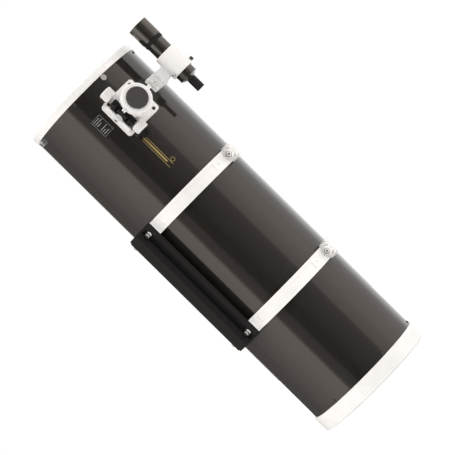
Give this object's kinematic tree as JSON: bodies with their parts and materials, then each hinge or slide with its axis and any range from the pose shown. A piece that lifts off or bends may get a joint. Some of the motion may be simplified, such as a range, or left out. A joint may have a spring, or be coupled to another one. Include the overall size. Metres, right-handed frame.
{
  "type": "newtonian telescope tube assembly",
  "caption": "Newtonian reflecting telescope tube with mirror cell, spider, rack-free focuser, finder scope, hinged tube rings and dovetail plate.",
  "frame": {"origin": "centre of the mirror-end ring's outer face, on the tube axis", "axes": "+Z along the tube towards the open end; the focuser faces between -Y and +X, and the finder sits towards +X"},
  "size_m": [0.4732, 0.4596, 1.126],
  "materials": {
    "tube_paint": "gloss black paint with fine metal flake",
    "white_paint": "cast aluminium in semi-gloss white powder coat",
    "black_paint": "aluminium in matt black paint",
    "finder_paint": "aluminium in gloss black paint with a warm tint",
    "grey_paint": "fine turned, clear anodised",
    "cast_alloy": "as cast",
    "chrome": "polished plating",
    "steel": "turned",
    "black_oxide": "black oxide",
    "black_anodised": "satin black anodised",
    "black_plastic": "fine grained moulding",
    "rubber": "soft rubber",
    "felt": "black felt",
    "mirror": "aluminised glass",
    "lens_glass": "coated glass"
  },
  "bodies": {
    "telescope": {"tube_shell": "tube_paint", "rear_ring": "white_paint", "front_ring": "white_paint", "tube_screws": "black_oxide", "spider": "black_paint", "spider_knobs": "chrome", "secondary_screws": "steel", "cell_frame": "black_paint", "cell_springs": "steel", "cell_frame_screws": "steel", "cell_lock_screws": "chrome", "focuser_base": "white_paint", "focuser_screws": "black_oxide", "focuser_housing": "white_paint", "draw_bearings": "steel", "shaft_bracket": "black_anodised", "finder_shoe": "white_paint"},
    "secondary_stem": {"secondary_stem": "steel"},
    "secondary": {"secondary_holder": "black_paint", "secondary_mirror": "mirror"},
    "mirror_cell": {"mirror_cell": "cast_alloy", "mirror_clips": "black_plastic", "primary_mirror": "mirror"},
    "collimation_knob_1": {"collimation_knob_1": "black_plastic"},
    "collimation_knob_2": {"collimation_knob_2": "black_plastic"},
    "collimation_knob_3": {"collimation_knob_3": "black_plastic"},
    "drawtube": {"drawtube": "black_anodised", "collar": "white_paint"},
    "focus_shaft": {"focus_shaft": "steel", "coarse_knobs": "grey_paint"},
    "fine_knob": {"fine_knob": "black_anodised"},
    "tension_screw": {"tension_screw": "chrome"},
    "lock_screw": {"lock_screw": "chrome"},
    "collar_thumbscrew_1": {"collar_thumbscrew_1": "chrome"},
    "collar_thumbscrew_2": {"collar_thumbscrew_2": "chrome"},
    "eyepiece_cap": {"eyepiece_cap": "black_plastic"},
    "finder_bracket": {"finder_bracket": "white_paint", "finder_o_ring": "rubber"},
    "shoe_thumbscrew": {"shoe_thumbscrew": "chrome"},
    "finder": {"finder_tube": "finder_paint", "finder_lock_ring": "black_anodised", "finder_eyepiece": "black_plastic", "finder_eye_lens": "lens_glass"},
    "objective": {"dew_shield": "finder_paint", "finder_objective": "lens_glass"},
    "finder_screw_1": {"finder_screw_1": "black_plastic"},
    "finder_screw_2": {"finder_screw_2": "black_plastic"},
    "finder_plunger": {"finder_plunger": "chrome"},
    "cradle": {"rear_cradle_lower": "white_paint", "front_cradle_lower": "white_paint", "cradle_lower_felts": "felt", "cradle_hinge_pins": "steel", "dovetail_plate": "black_anodised", "plate_bolts": "chrome"},
    "rear_cradle_top": {"rear_cradle_upper": "white_paint", "rear_cradle_upper_felt": "felt"},
    "front_cradle_top": {"front_cradle_upper": "white_paint", "front_cradle_upper_felt": "felt"},
    "rear_clamp": {"rear_clamp_screw": "chrome"},
    "front_clamp": {"front_clamp_screw": "chrome"}
  },
  "joints": [
    {"name": "tube_turn", "type": "hinge", "parent": "telescope", "child": "cradle", "pos_m": [0, 0, 0.528], "axis": [0, 0, 1], "continuous": true},
    {"name": "rear_ring_open", "type": "hinge", "parent": "cradle", "child": "rear_cradle_top", "pos_m": [-0.16522, 0.10729, 0.346], "axis": [0, 0, 1], "range_deg": [0, 100]},
    {"name": "rear_clamp_turn", "type": "hinge", "parent": "cradle", "child": "rear_clamp", "pos_m": [0.17109, -0.11111, 0.346], "axis": [-0.5446, -0.8387, 0], "range_deg": [-720, 720]},
    {"name": "front_ring_open", "type": "hinge", "parent": "cradle", "child": "front_cradle_top", "pos_m": [-0.16522, 0.10729, 0.712], "axis": [0, 0, 1], "range_deg": [0, 100]},
    {"name": "front_clamp_turn", "type": "hinge", "parent": "cradle", "child": "front_clamp", "pos_m": [0.17109, -0.11111, 0.712], "axis": [-0.5446, -0.8387, 0], "range_deg": [-720, 720]},
    {"name": "secondary_turn", "type": "hinge", "parent": "telescope", "child": "secondary_stem", "pos_m": [0, 0, 1.08], "axis": [0, 0, 1], "range_deg": [-10, 10]},
    {"name": "secondary_tilt", "type": "hinge", "parent": "secondary_stem", "child": "secondary", "pos_m": [0, 0, 1.053], "axis": [0.9397, 0.342, 0], "range_deg": [-1.5, 1.5]},
    {"name": "mirror_tilt", "type": "hinge", "parent": "telescope", "child": "mirror_cell", "pos_m": [0, 0, 0.044], "axis": [1, 0, 0], "range_deg": [-0.6, 0.6], "deforming": ["cell_springs"]},
    {"name": "collimation_turn_1", "type": "hinge", "parent": "telescope", "child": "collimation_knob_1", "pos_m": [0, -0.11, 0.014], "axis": [0, 0, 1], "range_deg": [-420, 420]},
    {"name": "collimation_turn_2", "type": "hinge", "parent": "telescope", "child": "collimation_knob_2", "pos_m": [0.09526, 0.055, 0.014], "axis": [0, 0, 1], "range_deg": [-210, 210]},
    {"name": "collimation_turn_3", "type": "hinge", "parent": "telescope", "child": "collimation_knob_3", "pos_m": [-0.09526, 0.055, 0.014], "axis": [0, 0, 1], "range_deg": [-210, 210]},
    {"name": "draw_slide", "type": "slide", "parent": "telescope", "child": "drawtube", "axis": [0.342, -0.9397, 0], "range_m": [-0.0035, 0.038]},
    {"name": "coarse_focus", "type": "hinge", "parent": "telescope", "child": "focus_shaft", "pos_m": [0.0453, -0.21231, 0.981], "axis": [0, 0, 1], "range_deg": [-726, 67]},
    {"name": "fine_focus", "type": "hinge", "parent": "telescope", "child": "fine_knob", "pos_m": [0.0453, -0.21231, 0.981], "axis": [0, 0, 1], "range_deg": [-7260, 670]},
    {"name": "tension_turn", "type": "hinge", "parent": "telescope", "child": "tension_screw", "pos_m": [0.02484, -0.21444, 0.981], "axis": [-0.9397, -0.342, 0], "range_deg": [-180, 180]},
    {"name": "lock_turn", "type": "hinge", "parent": "telescope", "child": "lock_screw", "pos_m": [0.1189, -0.1951, 0.981], "axis": [0.9397, 0.342, 0], "range_deg": [-180, 180]},
    {"name": "collar_screw_turn_1", "type": "hinge", "parent": "drawtube", "child": "collar_thumbscrew_1", "pos_m": [0.13002, -0.23149, 0.981], "axis": [0.9397, 0.342, 0], "range_deg": [-720, 720]},
    {"name": "collar_screw_turn_2", "type": "hinge", "parent": "drawtube", "child": "collar_thumbscrew_2", "pos_m": [0.0492, -0.26091, 0.981], "axis": [-0.9397, -0.342, 0], "range_deg": [-720, 720]},
    {"name": "cap_pull", "type": "slide", "parent": "drawtube", "child": "eyepiece_cap", "axis": [0.342, -0.9397, 0], "range_m": [0, 0.05]},
    {"name": "bracket_slide", "type": "slide", "parent": "telescope", "child": "finder_bracket", "axis": [0, 0, 1], "range_m": [0, 0.045]},
    {"name": "shoe_screw_turn", "type": "hinge", "parent": "telescope", "child": "shoe_thumbscrew", "pos_m": [0.15298, -0.12061, 0.986], "axis": [-0.4305, -0.9026, 0], "range_deg": [-720, 720]},
    {"name": "finder_tilt", "type": "hinge", "parent": "finder_bracket", "child": "finder", "pos_m": [0.23287, -0.11107, 1.013], "axis": [-0.7071, 0.7071, 0], "range_deg": [-1, 1]},
    {"name": "objective_focus", "type": "hinge", "parent": "finder", "child": "objective", "pos_m": [0.23287, -0.11107, 1.078], "axis": [0, 0, 1], "range_deg": [-180, 180]},
    {"name": "finder_screw_slide_1", "type": "slide", "parent": "finder_bracket", "child": "finder_screw_1", "axis": [1, 0, 0], "range_m": [-0.0007, 0.0007]},
    {"name": "finder_screw_slide_2", "type": "slide", "parent": "finder_bracket", "child": "finder_screw_2", "axis": [0, 1, 0], "range_m": [-0.0007, 0.0007]},
    {"name": "plunger_slide", "type": "slide", "parent": "finder_bracket", "child": "finder_plunger", "axis": [-0.7071, -0.7071, 0], "range_m": [-0.001, 0.001]}
  ],
  "couplings": [
    {"joint": "coarse_focus", "follows": "draw_slide", "rad_per_m": -333.33},
    {"joint": "fine_focus", "follows": "draw_slide", "rad_per_m": -3333.3},
    {"joint": "collimation_turn_1", "follows": "mirror_tilt", "ratio": 691.15},
    {"joint": "collimation_turn_2", "follows": "mirror_tilt", "ratio": -345.57},
    {"joint": "collimation_turn_3", "follows": "mirror_tilt", "ratio": -345.57},
    {"joint": "finder_screw_slide_1", "follows": "finder_tilt", "m_per_rad": -0.036062},
    {"joint": "finder_screw_slide_2", "follows": "finder_tilt", "m_per_rad": -0.036062},
    {"joint": "plunger_slide", "follows": "finder_tilt", "m_per_rad": 0.051}
  ]
}
